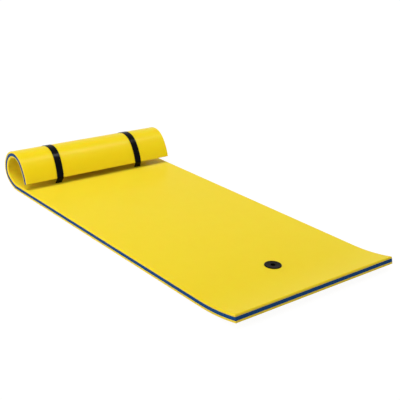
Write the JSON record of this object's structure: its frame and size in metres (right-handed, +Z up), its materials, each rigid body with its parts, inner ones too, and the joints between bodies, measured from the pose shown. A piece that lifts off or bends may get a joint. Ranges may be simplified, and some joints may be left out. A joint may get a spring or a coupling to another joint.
{
  "type": "swim float mat",
  "caption": "Three-layer foam float mat with its head end rolled into a strapped pillow and a tether grommet near the foot.",
  "frame": {"origin": "middle of the bounding box, on the plane that the mat lies on", "axes": "+X along the mat towards its foot, -X towards the pillow, Y across the mat, +Z up"},
  "size_m": [1.3843, 0.66, 0.1528],
  "materials": {
    "yellow_foam": "closed-cell cross-linked polyethylene foam with a fine skin",
    "blue_foam": "closed-cell cross-linked polyethylene foam, cut at the edges",
    "webbing": "flat woven polypropylene webbing",
    "loop_tape": "sewn loop tape, napped",
    "hook_tape": "sewn hook tape",
    "grommet_plastic": "moulded, satin"
  },
  "bodies": {
    "mat": {"top_layer": "yellow_foam", "core_layer": "blue_foam", "base_layer": "yellow_foam", "grommet_flange": "grommet_plastic", "grommet_washer": "grommet_plastic", "left_strap": "webbing", "left_loop_patch": "loop_tape", "right_strap": "webbing", "right_loop_patch": "loop_tape"},
    "left_free_end": {"left_tab": "webbing", "left_hook_patch": "hook_tape"},
    "right_free_end": {"right_tab": "webbing", "right_hook_patch": "hook_tape"}
  },
  "joints": [
    {"name": "left_tab_peel", "type": "hinge", "parent": "mat", "child": "left_free_end", "pos_m": [-0.67146, -0.1786, 0.12372], "axis": [0, 1, 0], "range_deg": [0, 120]},
    {"name": "right_tab_peel", "type": "hinge", "parent": "mat", "child": "right_free_end", "pos_m": [-0.67146, 0.1801, 0.12372], "axis": [0, 1, 0], "range_deg": [0, 120]}
  ]
}
